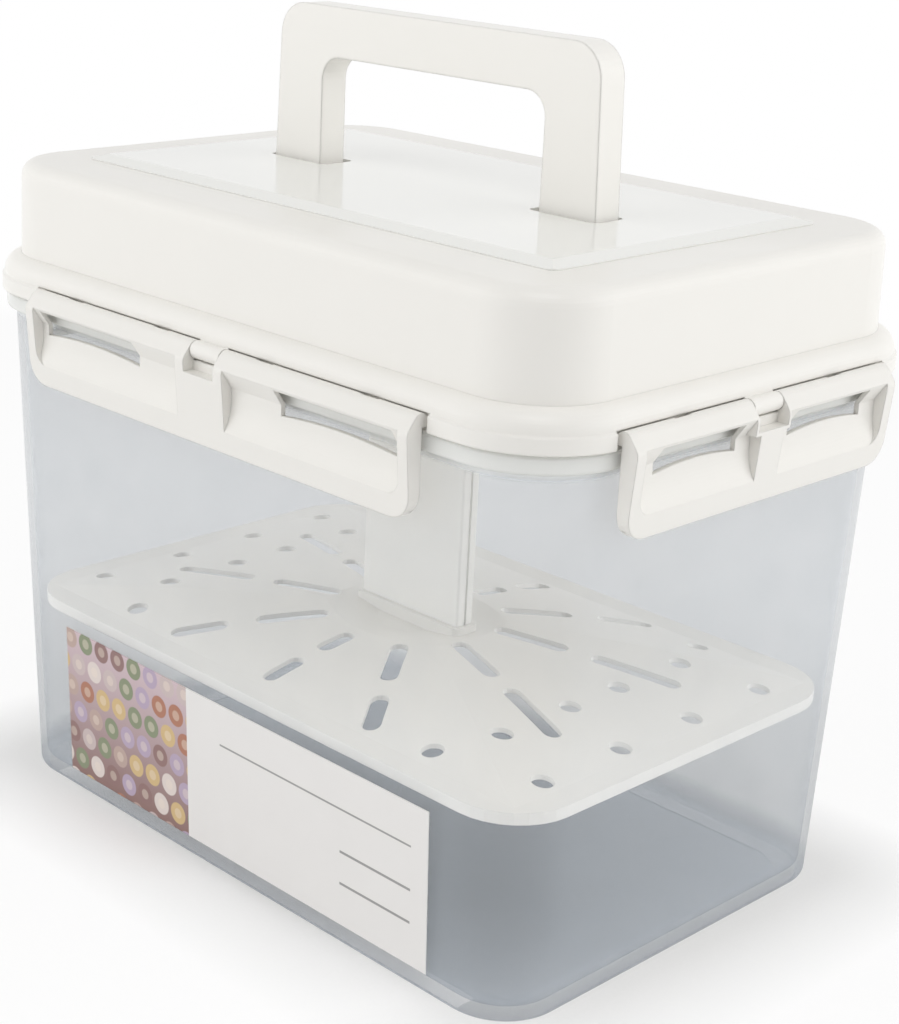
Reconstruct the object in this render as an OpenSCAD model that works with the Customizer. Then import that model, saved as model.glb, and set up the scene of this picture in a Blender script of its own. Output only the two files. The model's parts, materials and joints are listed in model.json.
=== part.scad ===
// Rectangular fermentation box: a see-through tub, a tall white lid with four snap flaps,
// and a perforated press plate that a carry handle pushes down through the lid.
// Millimetres. X runs along the long side, Y along the short side, Z up.
// The origin is the middle of the base, on the surface that the box stands on.

/* [Tub] */
// Length of the tub's wall at the base, outside
base_l = 222; // [200:1:260]
// Width of the tub's wall at the base, outside
base_w = 146.4; // [130:0.2:180]
// Radius of the upright corners at the base
base_r = 19.2; // [17:0.1:24]
// Height of the tub up to its rim
tub_h = 160.2; // [145:0.1:190]
// How far each wall leans out between the base and the rim
draft = 5.6; // [3:0.1:7]
// Thickness of the tub's walls
tub_wall = 2; // [1.6:0.1:2.4]
// Thickness of the tub's floor
floor_t = 2.2; // [1.6:0.1:4]
// Radius of the bend between the walls and the floor
base_bend = 2.5; // [2:0.5:5]
// Height of the ring that the tub stands on
foot_h = 1.2; // [0.6:0.1:2]
// Width of the ring that the tub stands on, from the wall inwards
foot_w = 10.5; // [8:0.5:13]
// How far the rim stands out from the wall
rim_out = 2.6; // [1.5:0.1:2.7]
// Height of the rim's turned-down edge
rim_h = 4.8; // [4:0.1:7]
// Thickness of the rim
rim_t = 2; // [1.6:0.1:2.6]
// Thickness of the rim's turned-down edge
rim_wall = 1.2; // [1:0.1:1.6]
// Rounding along the rim's edges
rim_round = 0.8; // [0.4:0.1:1.2]

/* [Lid] */
// Height of the dome's top above the tub's rim
dome_h = 39.4; // [38.4:0.2:60]
// Thickness of the lid's walls
lid_wall = 2; // [1.6:0.1:2.6]
// How far the dome's foot lies inside the top of the tub's wall
dome_set = 2.1; // [1.9:0.1:2.3]
// How far each dome wall leans in between its foot and its top
dome_draft = 0.4; // [0:0.1:2.5]
// Rounding along the dome's top edge
dome_round = 4.5; // [3:0.5:7]
// Radius of the round shoulder between the dome and the lid's band
shoulder_r = 5.2; // [5:0.1:5.4]
// Gap between the tub's rim and the lower edge of the lid's band
band_gap = 0.5; // [0.4:0.1:0.8]
// Height of the lid's band
band_h = 4.5; // [4.3:0.1:4.6]
// How far the band stands out from the shoulder
band_out = 0.8; // [0.6:0.1:1]
// Height of the neck between the band and the shoulder
neck_h = 1.1; // [0.8:0.1:2]
// Rounding along the band's edges
band_round = 0.4; // [0.2:0.1:0.5]
// Gap between the lid's land and the tub's rim that it closes on
land_gap = 0.3; // [0.2:0.05:0.35]
// Width of the land, outwards from the plug
land_w = 2.5; // [2:0.1:2.6]
// Depth that the plug reaches into the tub
plug_h = 5.6; // [4.8:0.1:7]
// Thickness of the plug's wall
plug_wall = 2; // [1.6:0.1:2.4]
// Thickness of the lip under the seal
lip_t = 0.8; // [0.6:0.1:1]
// How far the lip stands out from the plug
lip_w = 1.1; // [0.8:0.1:1.4]
// Height of the deck plate above the dome's top
deck_h = 1.8; // [1.2:0.1:4]
// Length of the deck plate at its upper edge
deck_l = 181; // [170:1:190]
// Width of the deck plate at its upper edge
deck_w = 100; // [70:1:106]
// Width of the sloping edge round the deck plate
deck_bevel = 4.5; // [2:0.5:5.5]
// Corner radius of the deck plate at its foot
deck_r = 2.5; // [1:0.5:5]
// Height of the deck plate's upright edge, under its sloping edge
deck_foot = 0.3; // [0.2:0.1:0.8]
// Bevel along the seal's edges
seal_bevel = 0.4; // [0.2:0.1:0.5]
// Clearance between the seal and the tub's rim level
seat_play = 0.1; // [0.1:0.05:0.3]
// Clearance between the seal round the plug and the tub's wall
seal_gap = 0.3; // [0.2:0.05:0.5]
// Thickness of the inner cover
cover_t = 2; // [1.6:0.1:2.4]
// Depth of the inner cover's upper face below the tub's rim
cover_drop = 2; // [1.6:0.1:2.4]
// Clearance round the inner cover
cover_gap = 0.2; // [0.1:0.05:0.3]
// Height of the collar round the column on the inner cover
cover_collar_h = 1.6; // [1:0.1:3]
// Width of that collar
cover_collar_w = 4; // [3:0.1:6]
// Width of the column's seal
wiper_w = 4.5; // [3.5:0.1:4.8]
// Height of the column's seal
wiper_h = 3; // [2:0.1:4]
// Thickness of the wall round the column's seal
wiper_wall = 2.5; // [1.5:0.1:3]
// Largest corner radius round the collar and the seal of the column
ring_r = 3; // [2:0.5:4]
// Corner radius of the mouths that the column goes through
mouth_r = 1; // [0.5:0.1:1.5]
// Width of the ledge that the inner cover lies against
ledge_w = 1.5; // [1:0.1:3]
// Thickness of that ledge
ledge_t = 1.8; // [1.2:0.1:2]

/* [Flaps] */
// Width of the front and rear flaps
flap_l = 161.6; // [150:0.4:176]
// Width of the left and right flaps
flap_s = 109.6; // [104:0.4:116]
// Gap between a flap's ends and the lid's band
flap_end_gap = 1.5; // [0.4:0.1:2.5]
// Distance of the hinge axis outwards from the lid's band
hinge_out = 0.4; // [0.2:0.1:0.5]
// Height of the hinge axis above the tub's rim
hinge_up = 2.9; // [2.8:0.1:3]
// Radius of a flap's round top, about its hinge axis
knuckle_r = 2.5; // [2.4:0.1:2.6]
// Gap between a flap's round top and its seat in the lid
knuckle_gap = 0.35; // [0.35:0.05:0.45]
// How far a flap's face stands out from its hinge axis at the bulge under its top
bulge_out = 4.7; // [4.4:0.1:5.2]
// Radius of that bulge
bulge_r = 3; // [2.6:0.1:3.2]
// Distance from the hinge axis down to the bulge
bulge_low = 3.1; // [2.6:0.1:3.4]
// How far a flap's face leans in between the bulge and its lower edge
face_lean = 1.9; // [0:0.1:2.2]
// Distance from the hinge axis down to a flap's lower edge
flap_drop = 25.3; // [24:0.1:30]
// How far a flap's side walls and lower wall reach in behind its hinge axis
flap_in = 0.4; // [0:0.1:0.4]
// Thickness of a flap's face
flap_t = 1.6; // [1.4:0.1:1.8]
// Thickness of a flap's wall between its round top and the hollow behind its face
top_wall = 0.6; // [0.5:0.1:1]
// Thickness of a flap's side walls and lower wall
flap_wall = 2; // [1.5:0.1:2.4]
// Radius of a flap's lower corners
flap_corner = 7; // [3:0.5:8]
// Gap between a flap's hollows and the tub's rim
rim_gap = 1.2; // [0.6:0.1:1.4]
// Thickness of a flap in its hollows
scoop_t = 1.4; // [1.2:0.1:1.5]
// Distance from the hinge axis down to the hollows' upper edge
scoop_top = 1.6; // [1.2:0.1:1.8]
// Distance from the hinge axis down to where the hollows reach their depth
scoop_deep = 7.1; // [6:0.1:8]
// Distance from the hinge axis down to where the hollows turn outwards again
scoop_mid = 10.4; // [10:0.1:11]
// Distance from the hinge axis down to the hollows' lower edge
scoop_low = 19.1; // [17:0.1:20]
// Radius of the hollows' lower outer corners
scoop_r = 4.5; // [2:0.5:6]
// Width of the solid strip at each end of a flap
scoop_end = 3.6; // [3:0.1:5]
// Half width of the middle strip of the front and rear flaps
mid_l = 10; // [9.4:0.2:14]
// Half width of the middle strip of the left and right flaps
mid_s = 4.9; // [4.6:0.1:6]
// Distance from the hinge axis down to the windows' upper edge
win_top = 2.7; // [2.4:0.1:3]
// Distance from the hinge axis down to the windows' lower corners
win_low = 10.2; // [9.6:0.1:10.6]
// Rise of the arched lower edge of the windows
win_arch = 1.3; // [0.6:0.1:1.6]
// Inner edge of the front windows, from the middle
win_l1 = 30.3; // [28:0.2:36]
// Outer edge of the front windows, from the middle
win_l2 = 74.4; // [68:0.2:75]
// Inner edge of the side windows, from the middle
win_s1 = 11.2; // [11:0.1:16]
// Outer edge of the side windows, from the middle
win_s2 = 43.9; // [38:0.1:46]
// Half width of the notch in the middle of a flap
notch = 6.3; // [6:0.1:7.4]
// Distance from the hinge axis down to the notch's floor
notch_low = 5.6; // [4.4:0.1:8]
// Thickness of the wall behind and below the notch
notch_wall = 1; // [0.8:0.1:1.2]
// Gap between the lid's band and the notch that it fills
notch_gap = 0.3; // [0.3:0.1:0.6]
// Radius of the hinge pins
pin_r = 1; // [0.8:0.1:1.1]
// Gap between a hinge pin and its hook
pin_gap = 0.2; // [0.15:0.05:0.25]
// Thickness of the hooks that carry the pins
hook_t = 0.8; // [0.7:0.05:0.85]
// Depth that the hooks' arms reach into the seat's wall
hook_root = 0.4; // [0.3:0.1:0.6]
// Width of the hooks
hook_w = 6; // [5:0.5:8]
// Gap beside and around the hooks
hook_gap = 0.3; // [0.25:0.05:0.4]
// Distance of the inner hooks from the middle of the front and rear flaps
hook_l1 = 22; // [18:0.5:26]
// Distance of the outer hooks from the middle of the front and rear flaps
hook_l2 = 62; // [50:0.5:70]
// Distance of the hooks from the middle of the left and right flaps
hook_s = 32; // [24:0.5:40]

/* [Press] */
// Height of the press plate's lower edge above the base
plate_z = 57.5; // [45:0.5:80]
// Gap between the press plate and the tub's wall at the bottom of its travel
plate_gap = 0.6; // [0.6:0.1:3]
// Corner radius of the press plate
plate_r = 20; // [17:0.5:26]
// Thickness of the press plate
plate_t = 1.5; // [1.2:0.1:2.4]
// Height of the press plate's edge
plate_edge = 3.5; // [3:0.1:6]
// Thickness of the press plate's turned-down edge
edge_t = 1.8; // [1.2:0.1:3]
// Width of the flat border round the press plate's crown
plate_flat = 7.6; // [5:0.1:12]
// Height of the press plate's crown
crown_h = 7.5; // [5:0.1:9]
// Radius of the dish round the column
dish_r = 40; // [36:1:44]
// Radius of the dish's flat middle
dish_in = 12; // [8:0.5:15]
// Depth of the dish
dish_d = 2.7; // [1.5:0.1:3]
// Radius at which the inner ring of slots starts
slot_r1 = 27; // [27:0.5:30]
// Radius at which the inner ring of slots ends
slot_r2 = 51.5; // [40:0.5:54]
// Radius at which the outer ring of slots starts
slot_r3 = 59; // [58:0.5:66]
// Radius at which the outer ring of slots ends
slot_r4 = 87.7; // [74:0.1:95]
// Width of the slots in the press plate
slot_w = 5.5; // [3:0.1:6.5]
// Diameter of the round holes in the press plate
hole_d = 6.5; // [4:0.1:8]
// Number of slots in each ring of slots
slot_n = 10; // [6:2:10]
// Width of the column
column_w = 41.8; // [36:0.2:46]
// Thickness of the column
column_t = 6.8; // [5:0.1:9]
// Radius of the column's upright edges
column_r = 0.8; // [0.4:0.1:1.5]
// Width of the groove in each narrow side of the column
groove_w = 1; // [0.6:0.1:2]
// Depth of that groove
groove_d = 0.6; // [0.3:0.1:1]
// Clearance round the column in the lid
column_gap = 0.35; // [0.3:0.05:0.6]
// Clearance round the column in the press plate and the yoke
fit_gap = 0.1; // [0.05:0.05:0.15]
// Width of the collar round the column on the press plate
collar_w = 1.6; // [1:0.1:3]
// Height of that collar above the dish's floor
collar_h = 4; // [2.5:0.1:6]
// Thickness of the yoke inside the dome
yoke_t = 4.7; // [4:0.1:6]
// How far the yoke reaches past the handle's legs
yoke_over = 2.6; // [1:0.1:4]
// Width of the yoke inside the dome
yoke_w = 15; // [13.4:0.2:20]
// Corner radius of the yoke
yoke_r = 4; // [2:0.5:6]
// Gap left between the yoke and the inner cover's collar at the bottom of the travel
cover_stop = 0.4; // [0.3:0.1:1]
// Gap left between the grip and the deck plate at the bottom of the travel
stop_gap = 1.6; // [1.5:0.1:4]
// Gap between the yoke and the dome's ceiling with the handle pulled up
yoke_gap = 0.5; // [0.4:0.1:1]
// Depth that the legs and the column go into the yoke
yoke_grip = 2; // [1:0.1:2.2]

/* [Handle] */
// Half length of the handle at its legs' feet
handle_x = 65.5; // [56:0.5:75]
// How far each leg's outer side leans in towards the top
leg_lean = 1.6; // [0:0.1:4]
// Width of the handle's legs
leg_w = 20.5; // [14:0.5:24]
// Thickness of the handle
handle_t = 9.6; // [7:0.2:11]
// Height of the handle's grip
grip_h = 14.8; // [10:0.1:20]
// Gap under the grip, for the fingers
finger_gap = 32; // [31:0.1:34]
// Radius of the handle's outer corners
handle_round = 10; // [6:0.5:14]
// Radius of the corners inside the handle
finger_round = 7; // [4:0.5:10]
// Gap at the outer end of each leg's slot
slot_out = 1; // [0.6:0.1:3]
// Gap at the inner end of each leg's slot
slot_in = 3.2; // [0.6:0.1:4]
// Gap along each side of the legs in their slots
slot_side = 1.5; // [0.6:0.1:2]
// Corner radius of the legs' slots
slot_round = 2; // [1:0.5:3]

/* [Label] */
// Left edge of the label, from the middle
label_x = -79.7; // [-84:0.1:-60]
// Length of the label
label_l = 162.1; // [100:0.1:166]
// Height of the label's lower edge above the base
label_z = 6.8; // [6.6:0.1:20]
// Height of the label
label_h = 49.3; // [30:0.1:60]
// Thickness of the label
label_t = 0.25; // [0.2:0.05:0.4]

/* [Hidden] */
$fn = 96;
eps = 0.01;

// The corners of the tub and the lid share their upright axes
corner_x = base_l / 2 - base_r;
corner_y = base_w / 2 - base_r;
lean = atan(draft / tub_h);
top_r = base_r + draft;
rim_r = top_r + rim_out;

// Lid levels and radii, from the tub's rim
dome_foot_r = top_r - dome_set;
dome_top_r = dome_foot_r - dome_draft;
shoulder_x = dome_foot_r + shoulder_r;
lid_r = shoulder_x + band_out;
land_z = tub_h + land_gap;
band_z = tub_h + band_gap;
band_top = band_z + band_h;
shoulder_z = band_top + neck_h;
dome_foot_z = shoulder_z + shoulder_r;
dome_top = tub_h + dome_h;
deck_top = dome_top + deck_h;
plug_r = dome_foot_r - lid_wall;
plug_in = plug_r - plug_wall;
plug_z = tub_h - plug_h;
cover_top = tub_h - cover_drop;
cover_z = cover_top - cover_t;
seal_r = wall_r(plug_z) - tub_wall / cos(lean) - seal_gap;

// Flap hinge, measured from the corner axes
hinge_r = lid_r + hinge_out;
hinge_z = tub_h + hinge_up;
seat_r = knuckle_r + knuckle_gap;
hook_r = pin_r + pin_gap + hook_t;

// A flap's section, from its hinge axis: the bulge's middle, and the hollows' floor on their deepest line
bulge_x = bulge_out - bulge_r;
face_a = atan(face_lean / (flap_drop - bulge_low));
top_a = atan2(-bulge_low, bulge_x) + acos((knuckle_r - bulge_r) / norm([bulge_x, bulge_low]));
scoop_in = rim_r + rim_gap + scoop_t - hinge_r;

// Press and handle levels
grip_z = deck_top + finger_gap;
handle_top = grip_z + grip_h;
yoke_top = dome_top - lid_wall - yoke_gap;
yoke_z = yoke_top - yoke_t;
cover_collar = cover_top + cover_collar_h;
travel = min(finger_gap - stop_gap, yoke_z - cover_collar - cover_stop);
plate_low_r = wall_r(plate_z - travel) - tub_wall / cos(lean) - plate_gap;
plate_x = corner_x + plate_low_r;
plate_y = corner_y + plate_low_r;
plate_top = plate_z + plate_edge;
crown_x = plate_x - plate_flat;
crown_y = plate_y - plate_flat;
dish_z = plate_top + crown_h - dish_d;
through_z = dish_z + collar_h + 1;

// Rings of slots: the radii of each, and the most that they may be of the way to the crown's edge
slot_rings = [[slot_r1, slot_r2, 0.42, 0.63], [slot_r3, slot_r4, 0.735, 0.96]];
// Holes in one quarter of the press plate, as shares of its half length and half width
hole_spots = [[0.884, 0.218], [0.884, 0.664], [0.673, 0.149], [0.673, 0.544], [0.602, 0.809]];

// Radius of the tub's outer wall about its corner axes at height z
function wall_r(z) = base_r + draft * z / tub_h;

// Points along an arc from angle a to angle b
function arc(x, z, r, a, b, n = 6) =
    [for (i = [0:n]) let (t = a + (b - a) * i / n) [x + r * cos(t), z + r * sin(t)]];

// Centre of a bend that meets a leaning wall, for a wall that passes x at height 0
function bend_x(x, z, r) = x + (z * sin(lean) - r) / cos(lean);

// Distance from the middle to the crown's edge in direction a
function reach(a) = min(crown_x / max(abs(cos(a)), eps), crown_y / max(abs(sin(a)), eps));

// Points along the dish's floor, shifted up by t: it rises steeply and levels out at the dish's edge
function dish_pts(t, n = 8) =
    [for (i = [0:n]) [dish_in + (dish_r - dish_in) * i / n, dish_z + t + dish_d * (1 - pow(1 - i / n, 2))]];

// The same points from the last to the first
function back(pts) = [for (i = [len(pts) - 1:-1:0]) pts[i]];

// Half of a crown: heights over a half length, along an arc
function crown_pts(half, n = 8) =
    let (r = (half * half + crown_h * crown_h) / (2 * crown_h))
    [for (i = [-n:n]) let (x = half * i / n) [x, crown_h - r + sqrt(r * r - x * x)]];

// A rounded rectangle as a polygon, with its corners' points on true arcs
module round_rect(x, y, r, n = 6) {
    polygon(concat(arc(x - r, y - r, r, 0, 90, n), arc(r - x, y - r, r, 90, 180, n),
                   arc(r - x, r - y, r, 180, 270, n), arc(x - r, r - y, r, 270, 360, n)));
}

// Carries a profile round a rectangle whose corner axes lie at cx and cy
module sweep(cx, cy) {
    for (k = [0:3]) {
        sx = (k == 0 || k == 3) ? 1 : -1;
        sy = k < 2 ? 1 : -1;
        translate([sx * cx, sy * cy, 0]) rotate([0, 0, 90 * k]) rotate_extrude(angle = 90) children();
    }
    translate([cx, cy, 0]) rotate([90, 0, 0]) linear_extrude(2 * cy) children();
    translate([-cx, cy, 0]) rotate([90, 0, 90]) linear_extrude(2 * cx) children();
    translate([-cx, -cy, 0]) rotate([90, 0, 180]) linear_extrude(2 * cy) children();
    translate([cx, -cy, 0]) rotate([90, 0, 270]) linear_extrude(2 * cx) children();
}

// Fills the middle of a sweep between two heights
module middle(cx, cy, z, t) {
    translate([-cx, -cy, z]) cube([2 * cx, 2 * cy, t]);
}

// Tub: floor, leaning walls and rim in one moulding
module tub() {
    floor_z = foot_h + floor_t;
    inner_x = base_r - tub_wall / cos(lean);
    color([0.78, 0.84, 0.9, 0.45]) {
        sweep(corner_x, corner_y) polygon(concat(
            [[0, foot_h], [base_r - foot_w, foot_h], [base_r - foot_w + foot_h, 0]],
            arc(bend_x(base_r, base_bend, base_bend), base_bend, base_bend, -90, -lean),
            [[wall_r(tub_h - rim_t), tub_h - rim_t], [rim_r - rim_wall, tub_h - rim_t],
             [rim_r - rim_wall, tub_h - rim_h]],
            arc(rim_r - rim_round, tub_h - rim_h + rim_round, rim_round, -90, 0, 3),
            arc(rim_r - rim_round, tub_h - rim_round, rim_round, 0, 90, 3),
            [[top_r - tub_wall / cos(lean), tub_h]],
            arc(bend_x(inner_x, floor_z + base_bend, base_bend), floor_z + base_bend, base_bend, -lean, -90),
            [[0, floor_z]]));
        middle(corner_x, corner_y, foot_h, floor_t);
    }
}

// Label: a thin sticker on the front wall, leaning with it
module label() {
    color("white")
        translate([label_x + label_l, -corner_y, 0]) rotate([90, 0, 270]) linear_extrude(label_l)
            polygon([[wall_r(label_z), label_z], [wall_r(label_z) + label_t, label_z],
                     [wall_r(label_z + label_h) + label_t, label_z + label_h],
                     [wall_r(label_z + label_h), label_z + label_h]]);
}

// The openings that the handle's legs slide in
module leg_slots(z, t) {
    for (s = [-1, 1])
        translate([s * (handle_x - leg_w / 2 + (slot_out - slot_in) / 2), 0, z])
            linear_extrude(t)
                round_rect((leg_w + slot_out + slot_in) / 2, handle_t / 2 + slot_side, slot_round);
}

// Places what belongs to one flap: its hinge axis along X at the origin, outwards along -Y
module at_flap(side) {
    turn = side == "front" ? 0 : side == "right" ? 90 : side == "rear" ? 180 : 270;
    away = (side == "front" || side == "rear") ? corner_y : corner_x;
    rotate([0, 0, turn]) translate([0, -(away + hinge_r), hinge_z]) children();
}

seat_in = notch - notch_gap;
function seat_end(side) = ((side == "front" || side == "rear") ? flap_l : flap_s) / 2 + flap_end_gap;
function hook_spots(side) = (side == "front" || side == "rear")
    ? [-hook_l2, -hook_l1, hook_l1, hook_l2] : [-hook_s, hook_s];

// A round bar along X, centred at x
module bar(x, r, w) {
    translate([x, 0, 0]) rotate([0, 90, 0]) cylinder(r = r, h = w, center = true);
}

// The lower half of such a bar
module half_bar(x, r, w, top) {
    difference() {
        bar(x, r, w);
        translate([x - w / 2 - 1, -r - 1, top]) cube([w + 2, 2 * r + 2, r + 1]);
    }
}

// One hook of the lid: a cradle under the hinge pin, on an arm from the seat's wall
module lid_hook(x) {
    difference() {
        union() {
            half_bar(x, hook_r, hook_w, -hook_gap);
            translate([x - hook_w / 2, 0, -hook_r]) cube([hook_w, seat_r + hook_root, hook_r - hook_gap]);
        }
        bar(x, pin_r + pin_gap, hook_w + 1);
    }
}

// Lid shell: the dome, its round shoulder and band, the plug, and the seats and hooks for the flaps
module lid_shell() {
    color("white") {
        difference() {
            union() {
                sweep(corner_x, corner_y) polygon(concat(
                    [[0, dome_top]],
                    arc(dome_top_r - dome_round, dome_top - dome_round, dome_round, 90, 0),
                    arc(dome_foot_r, shoulder_z, shoulder_r, 90, 0, 8),
                    [[shoulder_x, band_top + band_round]],
                    arc(lid_r - band_round, band_top - band_round, band_round, 90, 0, 3),
                    arc(lid_r - band_round, band_z + band_round, band_round, 0, -90, 3),
                    [[plug_r + land_w, band_z], [plug_r + land_w, land_z],
                     [plug_r, land_z], [plug_r, plug_z + lip_t], [plug_r + lip_w, plug_z + lip_t],
                     [plug_r + lip_w, plug_z], [plug_in, plug_z], [plug_in, cover_top],
                     [plug_in - ledge_w, cover_top], [plug_in - ledge_w, cover_top + ledge_t],
                     [plug_in, cover_top + ledge_t + ledge_w], [plug_r, dome_foot_z],
                     [dome_top_r - lid_wall, dome_top - dome_round],
                     [dome_top_r - dome_round, dome_top - lid_wall], [0, dome_top - lid_wall]]));
                middle(corner_x, corner_y, dome_top - lid_wall, lid_wall);
            }
            leg_slots(dome_top - lid_wall - 1, lid_wall + 2);
            for (side = ["front", "right", "rear", "left"], s = [-1, 1])
                at_flap(side) bar(s * (seat_end(side) + seat_in) / 2, seat_r, seat_end(side) - seat_in);
        }
        // Hooks for the pins, and a round block in each flap's notch, in line with the flap's round top
        for (side = ["front", "right", "rear", "left"])
            at_flap(side) {
                for (x = hook_spots(side)) lid_hook(x);
                bar(0, knuckle_r, 2 * seat_in);
            }
    }
}

// The deck plate's section over its length or its width, run along the other one
module deck_slab(half, run) {
    foot = half + deck_bevel;
    rotate([90, 0, 0]) linear_extrude(2 * run, center = true)
        polygon([[-foot, dome_top], [foot, dome_top], [foot, dome_top + deck_foot], [half, deck_top],
                 [-half, deck_top], [-foot, dome_top + deck_foot]]);
}

// Deck plate: the glossy panel on the dome, with a sloping edge that is mitred at its corners
module deck_plate() {
    foot_x = deck_l / 2 + deck_bevel;
    foot_y = deck_w / 2 + deck_bevel;
    color("whitesmoke")
        difference() {
            intersection() {
                deck_slab(deck_l / 2, foot_y);
                rotate([0, 0, 90]) deck_slab(deck_w / 2, foot_x);
                translate([0, 0, dome_top]) linear_extrude(deck_h) round_rect(foot_x, foot_y, deck_r);
            }
            leg_slots(dome_top - 1, deck_h + 2);
        }
}

// Lid seal: the ring round the plug, from its lip to just below the land, with bevelled edges
module lid_seal() {
    low = plug_z + lip_t;
    high = land_z - land_gap - seat_play;
    color("gainsboro")
        sweep(corner_x, corner_y)
            polygon([[plug_r, low], [seal_r - seal_bevel, low], [seal_r, low + seal_bevel],
                     [seal_r, high - seal_bevel], [seal_r - seal_bevel, high], [plug_r, high]]);
}

// A flat ring round the column: outer and inner margins from the column's faces
module column_ring(outer, inner, z, t) {
    translate([0, 0, z]) linear_extrude(t) difference() {
        round_rect(column_w / 2 + outer, column_t / 2 + outer, min(outer, ring_r));
        round_rect(column_w / 2 + inner, column_t / 2 + inner, mouth_r);
    }
}

// Inner cover: closes the dome from below and guides the column
module inner_cover() {
    color("white") {
        difference() {
            union() {
                sweep(corner_x, corner_y)
                    polygon([[0, cover_z], [plug_in - cover_gap, cover_z],
                             [plug_in - cover_gap, cover_top], [0, cover_top]]);
                middle(corner_x, corner_y, cover_z, cover_t);
            }
            translate([0, 0, cover_z - 1]) linear_extrude(cover_t + 2)
                round_rect(column_w / 2 + cover_collar_w / 2, column_t / 2 + cover_collar_w / 2, mouth_r);
        }
        column_ring(cover_collar_w, column_gap, cover_top - 1, cover_collar - cover_top + 1);
        column_ring(wiper_w + wiper_wall, wiper_w, cover_z - wiper_h, wiper_h + eps);
    }
}

// Column seal: the wiper ring in the inner cover's mouth
module column_seal() {
    color("gainsboro") {
        column_ring(wiper_w, column_gap, cover_z - wiper_h, wiper_h);
    }
}

// How far a flap's face stands out at a distance d below the hinge axis
function face_x(d) = bulge_out - face_lean * max(0, d - bulge_low) / (flap_drop - bulge_low);

// Where a hollow's floor lies at a distance d below the hinge axis: a slope, an upright part, a curve
function scoop_x(d) = d < scoop_deep
    ? face_x(scoop_top) + (scoop_in - face_x(scoop_top)) * (d - scoop_top) / (scoop_deep - scoop_top)
    : scoop_in + (face_x(scoop_low) - scoop_in) * pow(max(0, d - scoop_mid) / (scoop_low - scoop_mid), 2);

// A section drawn outwards and upwards from the hinge axis, run along X from a to b
module along(a, b) {
    translate([b, 0, 0]) rotate([90, 0, 270]) linear_extrude(b - a) children();
}

// A flap's full section, with its round top and its bulge
module flap_section() {
    polygon(concat([[-flap_in, -flap_drop], [-flap_in, -knuckle_r / 2]],
                   arc(0, 0, knuckle_r, 210, top_a, 8),
                   arc(bulge_x, -bulge_low, bulge_r, top_a, -face_a, 6),
                   [[face_x(flap_drop), -flap_drop]]));
}

// What is hollow behind a flap's face, below its round top
module flap_hollow() {
    top = knuckle_r + top_wall;
    inside = bulge_out - flap_t;
    polygon([[-flap_in - 1, flap_wall - flap_drop], [-flap_in - 1, -top], [inside - flap_t, -top],
             [inside, -top - flap_t / 2], [face_x(flap_drop) - flap_t, flap_wall - flap_drop]]);
}

// Section of a hollow in the face, between x and the floor shifted inwards by t
module scoop_section(x, t) {
    steps = 8;
    polygon(concat([[x + bulge_out, -scoop_top], [scoop_x(scoop_top) - t, -scoop_top],
                    [scoop_in - t, -scoop_deep]],
                   [for (i = [0:steps]) let (d = scoop_mid + (scoop_low - scoop_mid) * i / steps)
                       [scoop_x(d) - t, -d]],
                   [[x + face_x(scoop_low), -scoop_low]]));
}

// What a hollow takes away between a and b, with its outer lower corner, at b, rounded
module scoop_cut(a, b) {
    intersection() {
        along(a, b) scoop_section(1, 0);
        translate([0, bulge_out, 0]) rotate([90, 0, 0]) linear_extrude(3 * bulge_out)
            polygon(concat([[a, 0], [b, 0]],
                           arc(b - scoop_r, scoop_r - scoop_low, scoop_r, 0, -90), [[a, -scoop_low]]));
    }
}

// One window: straight top, arched lower edge, through the whole flap
module flap_window(a, b) {
    w = b - a;
    r = (w * w / 4 + win_arch * win_arch) / (2 * win_arch);
    half = asin(w / 2 / r);
    translate([0, bulge_out, 0]) rotate([90, 0, 0]) linear_extrude(3 * bulge_out)
        polygon(concat([[a, -win_top], [b, -win_top]],
                       arc((a + b) / 2, -win_low + win_arch - r, r, 90 - half, 90 + half, 8)));
}

// A flap's hollow body, with the hollows in its face and the block round its notch
module flap_body(half, mid) {
    difference() {
        union() {
            difference() {
                along(-half, half) flap_section();
                along(flap_wall - half, half - flap_wall) flap_hollow();
            }
            for (s = [0, 1])
                mirror([s, 0, 0]) along(mid - scoop_t, half - scoop_end + scoop_t)
                    scoop_section(-scoop_t / 2, scoop_t);
        }
        for (s = [0, 1]) mirror([s, 0, 0]) scoop_cut(mid, half - scoop_end);
    }
    intersection() {
        along(-notch - notch_wall, notch + notch_wall) flap_section();
        translate([-notch - notch_wall, -2 * bulge_out, -notch_low - notch_wall])
            cube([2 * (notch + notch_wall), 2 * bulge_out, notch_low + notch_wall]);
    }
}

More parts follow.
